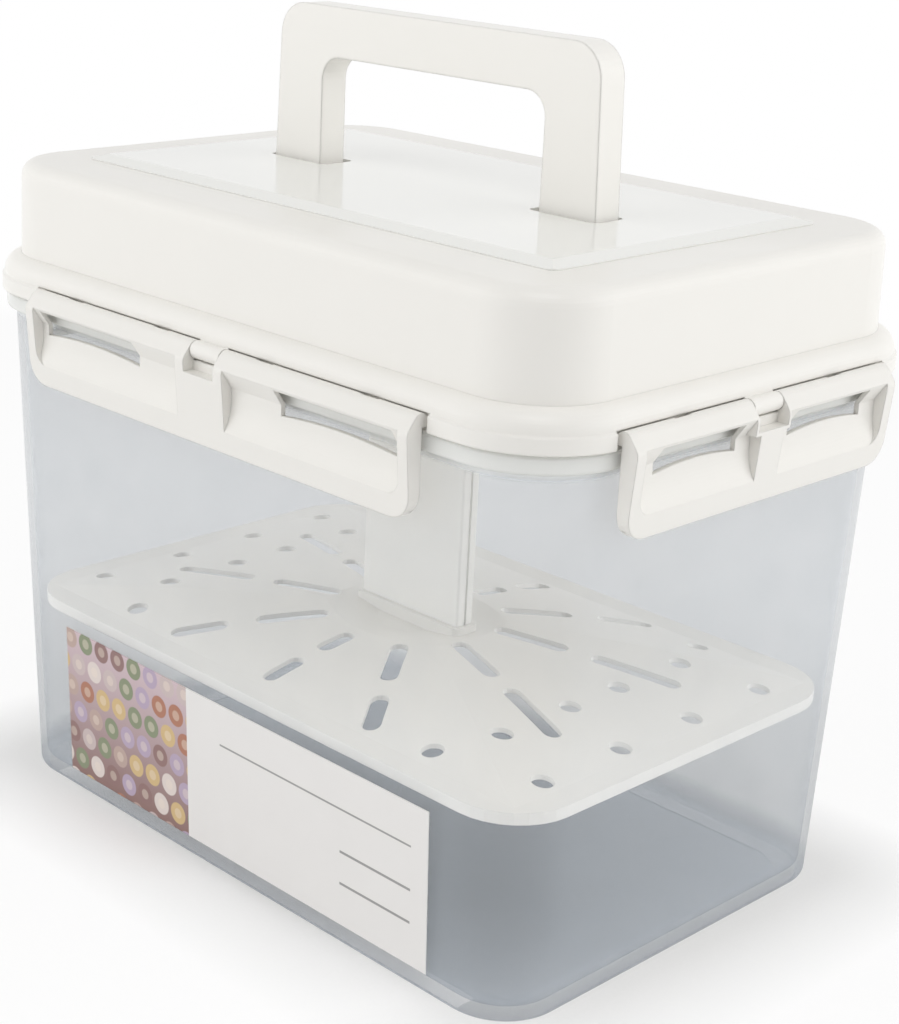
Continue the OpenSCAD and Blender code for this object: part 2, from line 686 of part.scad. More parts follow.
// Snap flap: a hollow plate with a round top, two hollows and windows, a notch, and its hinge pins
module flap(size, mid, w1, w2, spots) {
    half = size / 2;
    difference() {
        intersection() {
            flap_body(half, mid);
            // Outline of the flap, with its round lower corners
            translate([0, bulge_out, 0]) rotate([90, 0, 0]) linear_extrude(3 * bulge_out)
                polygon(concat([[half, knuckle_r + 1], [-half, knuckle_r + 1]],
                               arc(flap_corner - half, flap_corner - flap_drop, flap_corner, 180, 270, 8),
                               arc(half - flap_corner, flap_corner - flap_drop, flap_corner, 270, 360, 8)));
        }
        for (s = [-1, 1])
            flap_window(min(s * w1, s * w2), max(s * w1, s * w2));
        // Notch in the middle strip, and the gap in the round top that the lid's round block fills
        translate([-notch, -bulge_out - 1, -notch_low])
            cube([2 * notch, bulge_out + 1 - notch_wall, notch_low + knuckle_r + 1]);
        translate([-notch, -notch_wall - 1, -max(seat_r, hinge_up - band_gap + notch_gap)])
            cube([2 * notch, knuckle_r + notch_wall + 2, 2 * seat_r]);
        // Room for the lid's hooks
        for (x = spots) {
            half_bar(x, hook_r + hook_gap, hook_w + 2 * hook_gap, 0);
            translate([x - hook_w / 2 - hook_gap, 0, -knuckle_r - 1])
                cube([hook_w + 2 * hook_gap, knuckle_r + 1, 2 * knuckle_r + 2]);
        }
    }
    for (x = spots) bar(x, pin_r, hook_w + 2 * hook_gap + 2);
}

module flap_long() {
    color("white") flap(flap_l, mid_l, win_l1, win_l2, hook_spots("front"));
}

module flap_short() {
    color("white") flap(flap_s, mid_s, win_s1, win_s2, hook_spots("left"));
}

module latch_front() { at_flap("front") flap_long(); }
module latch_rear() { at_flap("rear") flap_long(); }
module latch_left() { at_flap("left") flap_short(); }
module latch_right() { at_flap("right") flap_short(); }

// Handle: an upside-down U whose legs reach the yoke
module handle() {
    foot = yoke_top - yoke_grip;
    inner = handle_x - leg_w;
    top = handle_x - leg_lean;
    color("white")
        translate([0, handle_t / 2, 0]) rotate([90, 0, 0]) linear_extrude(handle_t)
            polygon(concat([[handle_x, foot]],
                           arc(top - handle_round, handle_top - handle_round, handle_round, 0, 90, 8),
                           arc(handle_round - top, handle_top - handle_round, handle_round, 90, 180, 8),
                           [[-handle_x, foot], [-inner, foot]],
                           arc(finger_round - inner, grip_z - finger_round, finger_round, 180, 90),
                           arc(inner - finger_round, grip_z - finger_round, finger_round, 90, 0),
                           [[inner, foot]]));
}

// Yoke: the bar inside the dome that joins the legs to the column
module handle_yoke() {
    color("white")
        difference() {
            translate([0, 0, yoke_z]) linear_extrude(yoke_t)
                round_rect(handle_x + yoke_over, yoke_w / 2, yoke_r);
            for (s = [-1, 1])
                translate([s * (handle_x - leg_w / 2), 0, yoke_top - yoke_grip])
                    linear_extrude(yoke_grip + 1)
                        round_rect(leg_w / 2 + fit_gap, handle_t / 2 + fit_gap, 2 * fit_gap, 2);
            translate([0, 0, yoke_z - 1]) linear_extrude(yoke_grip + 1)
                round_rect(column_w / 2 + fit_gap, column_t / 2 + fit_gap, column_r + fit_gap);
        }
}

// Column: the flat bar between the yoke and the press plate, with a groove down each narrow side
module press_column() {
    foot = dish_z - plate_t;
    color("white")
        translate([0, 0, foot]) linear_extrude(yoke_z + yoke_grip - foot)
            difference() {
                round_rect(column_w / 2, column_t / 2, column_r);
                for (s = [-1, 1])
                    translate([s * column_w / 2, 0]) square([2 * groove_d, groove_w], center = true);
            }
}

// The press plate's crown as a solid, with its border at height z
module crown(z) {
    intersection() {
        translate([0, crown_y, z]) rotate([90, 0, 0]) linear_extrude(2 * crown_y)
            polygon(concat([[crown_x, -plate_t], [-crown_x, -plate_t]], crown_pts(crown_x)));
        translate([-crown_x, 0, z]) rotate([90, 0, 90]) linear_extrude(2 * crown_x)
            polygon(concat([[crown_y, -plate_t], [-crown_y, -plate_t]], crown_pts(crown_y)));
    }
}

// One slot along X from a to b
module slot(a, b) {
    polygon(concat(arc(b - slot_w / 2, 0, slot_w / 2, -90, 90),
                   arc(a + slot_w / 2, 0, slot_w / 2, 90, 270)));
}

// The press plate without its holes: an edge, a crown, and a dish with a collar for the column
module plate_shell() {
    difference() {
        union() {
            translate([0, 0, plate_z]) linear_extrude(plate_edge) round_rect(plate_x, plate_y, plate_r, 8);
            crown(plate_top);
        }
        translate([0, 0, plate_z - 1]) linear_extrude(plate_edge - plate_t + 1)
            round_rect(plate_x - edge_t, plate_y - edge_t, plate_r - edge_t, 8);
        crown(plate_top - plate_t);
        rotate_extrude()
            polygon(concat([[0, dish_z]], dish_pts(0), [[dish_r, through_z], [0, through_z]]));
    }
    intersection() {
        crown(plate_top);
        rotate_extrude()
            polygon(concat([[0, dish_z - plate_t]], dish_pts(-plate_t), back(dish_pts(0)), [[0, dish_z]]));
    }
    translate([0, 0, dish_z - plate_t]) linear_extrude(plate_t + collar_h)
        round_rect(column_w / 2 + collar_w, column_t / 2 + collar_w, column_r + collar_w);
}

// Press plate: its shell, with two rings of slots, the round holes and the socket for the column
module press_plate() {
    color("white")
        difference() {
            plate_shell();
            translate([0, 0, plate_z - 1]) linear_extrude(through_z - plate_z) {
                for (i = [0:slot_n - 1], ring = slot_rings) {
                    a = 360 / slot_n * (i + 0.5);
                    rotate(a) slot(min(ring[0], ring[2] * reach(a)), min(ring[1], ring[3] * reach(a)));
                }
                for (p = hole_spots, sx = [-1, 1], sy = [-1, 1])
                    translate([sx * p[0] * plate_x, sy * p[1] * plate_y]) circle(d = hole_d);
                round_rect(column_w / 2 + fit_gap, column_t / 2 + fit_gap, column_r + fit_gap);
            }
        }
}

tub();
label();
lid_shell();
deck_plate();
lid_seal();
inner_cover();
column_seal();
latch_front();
latch_rear();
latch_left();
latch_right();
handle();
handle_yoke();
press_column();
press_plate();
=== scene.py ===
# %% [markdown]
# # A fermentation jar, dressed and lit
#
# The real object is a box for pickling vegetables: a see-through tub, a tall white lid held by four
# snap flaps, and a perforated plate that a carry handle pushes down on the food. Its parts already
# exist as exact solids. This lesson loads them, gives each the plastic it is moulded from, and sets
# up a camera and a plain studio. The solids keep their place and shape, so all the work is in the
# materials and the light.

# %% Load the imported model
import json
import math

import bpy
from mathutils import Matrix, Vector

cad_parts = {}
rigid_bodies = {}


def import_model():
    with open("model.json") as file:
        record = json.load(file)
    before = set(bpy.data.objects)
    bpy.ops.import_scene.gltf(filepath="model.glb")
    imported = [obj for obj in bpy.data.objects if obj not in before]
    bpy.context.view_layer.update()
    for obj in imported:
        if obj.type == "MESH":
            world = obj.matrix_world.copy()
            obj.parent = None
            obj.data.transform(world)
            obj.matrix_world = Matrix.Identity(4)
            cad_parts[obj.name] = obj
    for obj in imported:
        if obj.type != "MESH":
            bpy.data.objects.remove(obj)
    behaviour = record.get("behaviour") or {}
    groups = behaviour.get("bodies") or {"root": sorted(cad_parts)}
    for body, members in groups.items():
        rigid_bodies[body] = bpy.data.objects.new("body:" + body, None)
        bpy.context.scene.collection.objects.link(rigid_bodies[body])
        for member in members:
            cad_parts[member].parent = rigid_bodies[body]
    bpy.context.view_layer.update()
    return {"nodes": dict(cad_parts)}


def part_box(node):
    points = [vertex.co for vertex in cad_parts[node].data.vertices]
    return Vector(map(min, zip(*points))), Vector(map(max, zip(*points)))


for left_over in list(bpy.data.objects):
    bpy.data.objects.remove(left_over)

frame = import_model()
parts = frame["nodes"]
scene = bpy.context.scene
print("parts:", ", ".join(sorted(parts)))

# %% [markdown]
# ## The camera
#
# A photograph's viewpoint can be found by matching a few known points, such as the corners of the
# lid and the tub, to where they fall in the picture. The result is a place, a direction, a small
# tilt and a focal length. The same numbers could be set by eye, but a matched camera puts the
# outlines where the picture has them. The sensor width belongs to the picture's long side.

# %% Camera
PICTURE = (899, 1024)          # pixels
FOCAL = 2040.0                 # pixels
MIDDLE = (395.3, 490.1)        # the pixel that the camera points at
SENSOR_WIDTH = 36              # millimetres
NEAR_END, FAR_END = 0.01, 50   # metres


def matched_camera(place, azimuth, elevation, roll):
    """A camera object from a place in metres and three angles in degrees."""
    az, el, tilt = (math.radians(a) for a in (azimuth, elevation, roll))
    ahead = Vector((-math.sin(az) * math.cos(el), math.cos(az) * math.cos(el), -math.sin(el)))
    level = Vector((math.cos(az), math.sin(az), 0))
    down = ahead.cross(level)
    right = level * math.cos(tilt) + down * math.sin(tilt)
    down = down * math.cos(tilt) - level * math.sin(tilt)
    data = bpy.data.cameras.new("camera")
    data.sensor_width = SENSOR_WIDTH
    data.lens = FOCAL / max(PICTURE) * SENSOR_WIDTH
    data.shift_x = (PICTURE[0] / 2 - MIDDLE[0]) / max(PICTURE)
    data.shift_y = -(PICTURE[1] / 2 - MIDDLE[1]) / max(PICTURE)
    data.clip_start, data.clip_end = NEAR_END, FAR_END
    camera = bpy.data.objects.new("camera", data)
    scene.collection.objects.link(camera)
    turn = Matrix((right, -down, -ahead)).transposed().to_4x4()
    camera.matrix_world = Matrix.Translation(place) @ turn
    return camera


scene.camera = matched_camera((0.4147, -0.4205, 0.3037), azimuth=45.38, elevation=18.41, roll=-2.37)
scene.view_settings.view_transform = "Standard"
print("lens", round(scene.camera.data.lens, 1), "mm")

# %% [markdown]
# ## Small helpers for node trees
#
# Materials are built from nodes. Placing each node by hand takes several lines, so a few helpers do
# it: one makes a node and sets or links its inputs, three make the nodes that come up most often,
# and one turns a screen colour into the linear numbers that shaders use.

# %% Node helpers


def join(tree, socket, value):
    """Links value to the socket if it is another node's output, and otherwise sets it there."""
    if isinstance(value, bpy.types.NodeSocket):
        tree.links.new(value, socket)
    else:
        socket.default_value = value


def add(tree, kind, links=None, **settings):
    """A new node. links maps an input's name or number to a value or to another node's output."""
    made = tree.nodes.new(kind)
    for name, value in settings.items():
        setattr(made, name, value)
    for key, value in (links or {}).items():
        join(tree, made.inputs[key], value)
    return made


def maths(tree, operation, a, b=0.0, c=0.0, clamp=False):
    """The output of a Math node."""
    return add(tree, "ShaderNodeMath", {0: a, 1: b, 2: c}, operation=operation,
               use_clamp=clamp).outputs[0]


def ramp(tree, value, start, end, low=0.0, high=1.0):
    """A value that goes from low to high as the given one goes from start to end."""
    return add(tree, "ShaderNodeMapRange",
               {"Value": value, "From Min": start, "From Max": end, "To Min": low,
                "To Max": high}).outputs[0]


def colour(red, green, blue):
    """Linear colour with alpha from the 0 to 255 numbers of a screen colour."""
    return tuple((v / 255 / 12.92) if v <= 10 else ((v / 255 + 0.055) / 1.055) ** 2.4
                 for v in (red, green, blue)) + (1.0,)


def mix_colours(tree, share, a, b):
    """The colour output of a Mix node between a and b. Its colour inputs are numbers 6 and 7."""
    return add(tree, "ShaderNodeMix", {0: share, 6: a, 7: b}, data_type="RGBA",
               blend_type="MIX").outputs[2]


print("screen grey 128 is", round(colour(128, 128, 128)[0], 3), "in linear numbers")

# %% [markdown]
# ## Shared effect: moulded skin
#
# Injection moulded plastic is never perfectly smooth. The tool leaves a very fine even grain, and
# the wall sinks a little as it cools, which bends reflections in long soft waves. A picture texture
# could hold this, but noise in the part's own coordinates needs no unwrapping and never repeats.
# The group gives one height for a Bump node, and a mask that varies the gloss.

# %% Group: moulded skin
MM_PER_M = 1000.0


def new_group(name, inputs, outputs):
    """A shader node group with float inputs {name: value} and outputs {name: socket kind}."""
    group = bpy.data.node_groups.new(name, "ShaderNodeTree")
    for label, value in inputs.items():
        made = group.interface.new_socket(label, in_out="INPUT", socket_type="NodeSocketFloat")
        made.default_value = value
    for label, kind in outputs.items():
        group.interface.new_socket(label, in_out="OUTPUT", socket_type=kind)
    return group, group.nodes.new("NodeGroupInput"), group.nodes.new("NodeGroupOutput")


def moulded_skin_group():
    group, given, result = new_group(
        "moulded skin",
        {"Grain Size mm": 0.35, "Grain Height": 0.25, "Wave Size mm": 45.0, "Wave Height": 5.0},
        {"Height": "NodeSocketFloat", "Gloss Mask": "NodeSocketFloat"})
    place = add(group, "ShaderNodeTexCoord").outputs["Object"]
    grain_scale = maths(group, "DIVIDE", MM_PER_M, given.outputs["Grain Size mm"])
    wave_scale = maths(group, "DIVIDE", MM_PER_M, given.outputs["Wave Size mm"])
    flow_scale = maths(group, "MULTIPLY", wave_scale, 2.0)
    grain = add(group, "ShaderNodeTexNoise",
                {"Vector": place, "Scale": grain_scale, "Detail": 2.0, "Roughness": 0.6})
    wave = add(group, "ShaderNodeTexNoise",
               {"Vector": place, "Scale": wave_scale, "Detail": 1.0, "Roughness": 0.4})
    flow = add(group, "ShaderNodeTexNoise", {"Vector": place, "Scale": flow_scale, "Detail": 2.0})
    fine = maths(group, "MULTIPLY", grain.outputs["Fac"], given.outputs["Grain Height"])
    slow = maths(group, "MULTIPLY", wave.outputs["Fac"], given.outputs["Wave Height"])
    group.links.new(maths(group, "ADD", fine, slow), result.inputs["Height"])
    group.links.new(flow.outputs["Fac"], result.inputs["Gloss Mask"])
    return group


MOULDED_SKIN = moulded_skin_group()
print(MOULDED_SKIN.name, "has", len(MOULDED_SKIN.nodes), "nodes")

# %% [markdown]
# ## Shared effect: soft edges
#
# No moulded edge is knife sharp: each has a small radius that catches a thin line of light. The
# solids have plain edges. Rounding their meshes would change the measured shape, so the Bevel node
# rounds only the shading. Where the rounded normal differs from the true one there is an edge, and
# that difference is a mask for the slight polish that handling gives to edges.

# %% Group: soft edges
EDGE_SAMPLES = 6
EDGE_BEND = (1.0, 0.8)   # cosines between the two normals on a flat face and on a full edge


def soft_edges_group():
    group, given, result = new_group(
        "soft edges", {"Radius mm": 0.6},
        {"Normal": "NodeSocketVector", "Edge Mask": "NodeSocketFloat"})
    radius = maths(group, "MULTIPLY", given.outputs["Radius mm"], 1 / MM_PER_M)
    round_edge = add(group, "ShaderNodeBevel", {"Radius": radius}, samples=EDGE_SAMPLES)
    true_normal = add(group, "ShaderNodeNewGeometry").outputs["Normal"]
    same = add(group, "ShaderNodeVectorMath", {0: round_edge.outputs[0], 1: true_normal},
               operation="DOT_PRODUCT").outputs["Value"]
    group.links.new(round_edge.outputs[0], result.inputs["Normal"])
    group.links.new(ramp(group, same, *EDGE_BEND), result.inputs["Edge Mask"])
    return group


SOFT_EDGES = soft_edges_group()
print(SOFT_EDGES.name, "has", len(SOFT_EDGES.nodes), "nodes")

# %% [markdown]
# ## Shared effect: settled dust
#
# A white object that is handled in a kitchen shows its age as a faint veil on what faces upwards,
# broken into soft clouds with a few finer specks. The mask is the upward share of the surface's
# direction times two noises. It stays very weak here, because the photographed object is new.

# %% Group: settled dust
UPWARD = (0.3, 1.0)           # upward shares of the normal on which dust starts and fully lies
SPECK_FINENESS, SPECK_STRENGTH = 40.0, 0.3
SPECK_LEVELS = (0.7, 0.8)     # only the noise's rare peaks are specks


def settled_dust_group():
    group, given, result = new_group(
        "settled dust", {"Amount": 0.1, "Cloud Size mm": 25.0}, {"Mask": "NodeSocketFloat"})
    place = add(group, "ShaderNodeTexCoord").outputs["Object"]
    facing = add(group, "ShaderNodeNewGeometry").outputs["Normal"]
    upward = ramp(group, add(group, "ShaderNodeSeparateXYZ", {0: facing}).outputs["Z"], *UPWARD)
    cloud_scale = maths(group, "DIVIDE", MM_PER_M, given.outputs["Cloud Size mm"])
    speck_scale = maths(group, "MULTIPLY", cloud_scale, SPECK_FINENESS)
    clouds = add(group, "ShaderNodeTexNoise",
                 {"Vector": place, "Scale": cloud_scale, "Detail": 3.0})
    specks = add(group, "ShaderNodeTexNoise",
                 {"Vector": place, "Scale": speck_scale, "Detail": 0.0})
    lit_specks = ramp(group, specks.outputs["Fac"], *SPECK_LEVELS)
    both = maths(group, "MULTIPLY_ADD", lit_specks, SPECK_STRENGTH, clouds.outputs["Fac"])
    veil = maths(group, "MULTIPLY", maths(group, "MULTIPLY", both, upward),
                 given.outputs["Amount"], clamp=True)
    group.links.new(veil, result.inputs["Mask"])
    return group


SETTLED_DUST = settled_dust_group()
print(SETTLED_DUST.name, "has", len(SETTLED_DUST.nodes), "nodes")

# %% [markdown]
# ## White plastics
#
# The lid, flaps, handle and press are moulded from polypropylene in one warm white. They differ in
# finish: the lid is satin, the deck panel on it is polished, the handle is as smooth as the lid but
# softer at its edges, and the press plate is plainer. The press plate and its column get paler
# shades than the lid as painted light, the column the palest, because the lamps reach them too
# little inside the tub. One function makes them all, so that the family likeness is certain, and
# each finish is one call with its own numbers. Sizes are in millimetres, and the heights of grain
# and wave count in steps of the Bump node's distance.

# %% White plastic
DUST_SHADE = (214, 209, 200)
WHITE_IOR = 1.49
RELIEF_STEP = 0.00002   # metres of relief for a height of 1
EDGE_POLISH = 0.06      # how much smoother the edges are worn
GLOSS_LEVELS = (0.3, 0.7)   # most of the gloss mask's noise lies between these


def group_node(tree, group, **inputs):
    """The group placed in a material, with its own values."""
    made = add(tree, "ShaderNodeGroup")
    made.node_tree = group
    for name, value in inputs.items():
        made.inputs[name.replace("_", " ")].default_value = value
    return made


def new_material(name):
    """An empty node material with its output node."""
    material = bpy.data.materials.new(name)
    material.use_nodes = True
    material.node_tree.nodes.clear()
    return material, material.node_tree, add(material.node_tree, "ShaderNodeOutputMaterial")


def relief(tree, height, edges, strength, step):
    """The normal of a Bump node on top of the softened edges."""
    return add(tree, "ShaderNodeBump", {"Strength": strength, "Distance": step, "Height": height,
                                        "Normal": edges.outputs["Normal"]}).outputs[0]


def surface_of(tree, output, settings):
    """A Principled BSDF with these settings, joined to the material's output."""
    surface = add(tree, "ShaderNodeBsdfPrincipled", settings)
    tree.links.new(surface.outputs[0], output.inputs["Surface"])


def white_plastic(name, shades, rough, rough_spread, grain, grain_height, wave_height, edge, dust,
                  coat=0.0, coat_rough=0.05):
    material, tree, output = new_material(name)
    skin = group_node(tree, MOULDED_SKIN, Grain_Size_mm=grain, Grain_Height=grain_height,
                      Wave_Height=wave_height)
    edges = group_node(tree, SOFT_EDGES, Radius_mm=edge)
    veil = group_node(tree, SETTLED_DUST, Amount=dust)
    gloss = skin.outputs["Gloss Mask"]
    base = mix_colours(tree, gloss, colour(*shades[0]), colour(*shades[1]))
    base = mix_colours(tree, veil.outputs["Mask"], base, colour(*DUST_SHADE))
    roughness = ramp(tree, gloss, *GLOSS_LEVELS, rough - rough_spread, rough + rough_spread)
    roughness = maths(tree, "MULTIPLY_ADD", edges.outputs["Edge Mask"], -EDGE_POLISH, roughness)
    roughness = maths(tree, "ADD", roughness, veil.outputs["Mask"], clamp=True)
    surface_of(tree, output, {
        "Base Color": base, "Roughness": roughness, "IOR": WHITE_IOR,
        "Normal": relief(tree, skin.outputs["Height"], edges, 1.0, RELIEF_STEP),
        "Coat Weight": coat, "Coat Roughness": coat_rough})
    return material


lid_white = white_plastic(
    "lid satin white", ((239, 237, 232), (237, 235, 230)), rough=0.30, rough_spread=0.02,
    grain=0.45, grain_height=0.06, wave_height=7.0, edge=0.7, dust=0.02)
flap_white = white_plastic(
    "flap satin white", ((236, 234, 229), (234, 232, 227)), rough=0.33, rough_spread=0.02,
    grain=0.45, grain_height=0.06, wave_height=4.0, edge=0.6, dust=0.02)
handle_white = white_plastic(
    "handle white", ((242, 240, 235), (241, 239, 234)), rough=0.30, rough_spread=0.02,
    grain=0.5, grain_height=0.05, wave_height=6.0, edge=1.1, dust=0.02)
deck_white = white_plastic(
    "deck polished white", ((237, 237, 233), (236, 236, 232)), rough=0.12, rough_spread=0.02,
    grain=0.8, grain_height=0.02, wave_height=6.0, edge=0.3, dust=0.015, coat=0.4, coat_rough=0.03)
# The press shades are paler than the lid's as painted light, for the light the plate lacks in the
# tub.
press_white_with_painted_light = white_plastic(
    "press white with painted light", ((244, 242, 237), (242, 240, 235)), rough=0.38, rough_spread=0.03,
    grain=0.5, grain_height=0.08, wave_height=6.0, edge=0.35, dust=0.0)
# The column shades are the palest as painted light: the column is the same plastic, shaded by the
# lid.
column_white_with_painted_light = white_plastic(
    "column white with painted light", ((252, 251, 247), (251, 250, 246)), rough=0.38, rough_spread=0.03,
    grain=0.5, grain_height=0.08, wave_height=6.0, edge=0.35, dust=0.0)
inner_white = white_plastic(
    "inner white", ((240, 237, 231), (238, 235, 229)), rough=0.42, rough_spread=0.03,
    grain=0.5, grain_height=0.08, wave_height=6.0, edge=0.5, dust=0.0)
WHITES = (lid_white, flap_white, handle_white, deck_white, press_white_with_painted_light, column_white_with_painted_light, inner_white)
print("white plastics:", ", ".join(made.name for made in WHITES))

# %% [markdown]
# ## Seals
#
# The ring under the lid and the wiper round the column are soft silicone. It is matt, and lets a
# little light into its surface, which subsurface scattering copies at small cost.

# %% Seal rubber
SEAL_SHADES = ((226, 226, 222), (212, 212, 208))
SEAL_ROUGH, SEAL_ROUGH_SPREAD = 0.55, 0.15
THICK_STEP = 0.0001   # metres of relief for a height of 1, on softer or rougher skins


def seal_rubber():
    material, tree, output = new_material("seal silicone")
    skin = group_node(tree, MOULDED_SKIN, Grain_Size_mm=0.25, Grain_Height=0.9, Wave_Height=0.3)
    edges = group_node(tree, SOFT_EDGES, Radius_mm=0.35)
    gloss = skin.outputs["Gloss Mask"]
    surface_of(tree, output, {
        "Base Color": mix_colours(tree, gloss, *(colour(*shade) for shade in SEAL_SHADES)),
        "Roughness": maths(tree, "MULTIPLY_ADD", gloss, SEAL_ROUGH_SPREAD, SEAL_ROUGH),
        "Normal": relief(tree, skin.outputs["Height"], edges, 0.5, THICK_STEP),
        "Subsurface Weight": 0.3, "Subsurface Radius": (1.0, 0.95, 0.9),
        "Subsurface Scale": 0.001})
    return material


seal_white = seal_rubber()
print("made", seal_white.name)

# %% [markdown]
# ## The see-through tub
#
# The tub is a milky, faintly blue-grey resin. Light passes through its two millimetre wall with
# hardly any bend, and a part of it is scattered on the way, which lays a veil over what stands
# behind. Glass shading would bend the light well but has no veil, and a closed volume of fog takes
# very long to render. So the wall is a plastic with an alpha: each face lets most rays straight
# through and answers the rest with its own colour and gloss. The wall is longer for a ray that
# meets it at a slant, so the Layer Weight node raises the alpha towards the outlines, and flow
# marks in the resin vary it a little. A milky wall doesn't hold back the light that it scatters,
# most of it goes on inwards, so for the rays that carry light the alpha is much lower. The bend and
# the ring at the foot are thicker, and so is the rim, so there the veil is denser. Their colours
# are
# painted light and shade: the outlines darken low down and the foot is dark, as painted shade where
# the plate and lid shade the tub's lower part, and the rim is pale, as painted light for the glow
# that the resin carries into it.

# %% Tub resin
TUB_SHADES = ((204, 212, 220), (196, 205, 214))
# The low outline colour is painted shade: the outline darkens low down, where the plate and lid
# shade the tub.
TUB_EDGE, TUB_LOW_EDGE_PAINTED_SHADE = (228, 233, 237), (140, 151, 163)   # the outlines, high up and low down
# The foot colour is painted shade, and the rim colour is painted light for the glow the resin
# carries into the rim.
TUB_FOOT_PAINTED_SHADE, TUB_RIM_PAINTED_GLOW = (138, 148, 160), (230, 231, 228)
SQUARE_VEIL, SLANT_VEIL = 0.115, 0.45    # alpha of a face that is met squarely, and at a slant
FOOT_VEIL, RIM_VEIL, FLOW_VEIL = 0.3, 0.75, 0.06   # what foot, rim and flow marks add to it
LIGHT_PASSED = 0.93                      # how much of the alpha the rays that carry light skip
OUTLINE_SHADE_RISE = (0.02, 0.11)                 # heights in metres between which the outline pales
FOOT_RISE, RIM_RISE = (0.002, 0.010), (0.1525, 0.1550)
TUB_IOR, TUB_ROUGH, TUB_ROUGH_SPREAD = 1.5, 0.16, 0.1
SLANT_POWER = 3.0                        # keeps the slant's effect close to the outlines


def tub_resin():
    material, tree, output = new_material("tub milky resin")
    skin = group_node(tree, MOULDED_SKIN, Grain_Size_mm=0.6, Grain_Height=0.1, Wave_Size_mm=30.0,
                      Wave_Height=1.0)
    edges = group_node(tree, SOFT_EDGES, Radius_mm=0.5)
    flow = skin.outputs["Gloss Mask"]
    place = add(tree, "ShaderNodeTexCoord").outputs["Object"]
    level = add(tree, "ShaderNodeSeparateXYZ", {0: place}).outputs["Z"]
    slant = add(tree, "ShaderNodeLayerWeight", {"Blend": 0.5}).outputs["Facing"]
    steep = maths(tree, "POWER", slant, SLANT_POWER)
    foot = ramp(tree, level, *FOOT_RISE, low=1.0, high=0.0)
    rim = ramp(tree, level, *RIM_RISE)

    base = mix_colours(tree, flow, *(colour(*shade) for shade in TUB_SHADES))
    # The outline darkens low down as painted shade.
    outline = mix_colours(tree, ramp(tree, level, *OUTLINE_SHADE_RISE), colour(*TUB_LOW_EDGE_PAINTED_SHADE),
                          colour(*TUB_EDGE))
    base = mix_colours(tree, steep, base, outline)
    # The foot is painted dark as painted shade, and the rim pale as painted light.
    base = mix_colours(tree, foot, base, colour(*TUB_FOOT_PAINTED_SHADE))
    base = mix_colours(tree, rim, base, colour(*TUB_RIM_PAINTED_GLOW))

    veil = ramp(tree, steep, 0.0, 1.0, SQUARE_VEIL, SLANT_VEIL)
    marks = maths(tree, "MULTIPLY_ADD", flow, FLOW_VEIL, -FLOW_VEIL / 2)
    thick = maths(tree, "MULTIPLY_ADD", foot, FOOT_VEIL, maths(tree, "MULTIPLY", rim, RIM_VEIL))
    veil = maths(tree, "ADD", thick, maths(tree, "ADD", veil, marks))
    rays = add(tree, "ShaderNodeLightPath")
    lighting = maths(tree, "MAXIMUM", rays.outputs["Is Shadow Ray"], rays.outputs["Is Diffuse Ray"])
    held = maths(tree, "MULTIPLY_ADD", lighting, -LIGHT_PASSED, 1.0)
    surface_of(tree, output, {
        "Base Color": base,
        "Roughness": maths(tree, "MULTIPLY_ADD", flow, TUB_ROUGH_SPREAD, TUB_ROUGH),
        "IOR": TUB_IOR, "Alpha": maths(tree, "MULTIPLY", veil, held, clamp=True),
        "Normal": relief(tree, skin.outputs["Height"], edges, 0.3, THICK_STEP)})
    return material


tub_clear = tub_resin()
print("tub veil from", SQUARE_VEIL, "to", SLANT_VEIL)

# %% [markdown]
# ## The label
#
# The label is a satin film, printed on one third with a picture and plain white on the rest. Here
# the picture's place holds a simple pattern of discs in pink, lilac, brown, ochre and green, and
# the white part has ruled lines to write a date and the contents on. A print has no depth, so it is
# colour only: the discs are a grid of cells, each cell picks its colour by a random number, and the
# distance to the cell's middle makes the disc.

# %% Label pattern
LABEL_LOW, LABEL_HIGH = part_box("label")
DISC_CELL = 0.0082             # metres
DISC_SIZE, CORE_SIZE = 0.43, 0.2   # radii, as shares of the cell
DISC_BLUR, CORE_STRENGTH = 0.02, 0.35
DISC_INKS = ((198, 182, 180), (184, 160, 151), (141, 109, 106), (206, 178, 128), (132, 140, 112),
             (178, 160, 182), (220, 208, 202), (171, 116, 92))
GROUND_SHADES = ((136, 104, 98), (204, 184, 190))
CORE_SHADE = (236, 222, 206)


def between(tree, value, low, high, soft=0.0001):
    """1 where low < value < high, with a soft step of twice the given width."""
    return maths(tree, "MULTIPLY", ramp(tree, value, low - soft, low + soft),
                 ramp(tree, value, high + soft, high - soft))


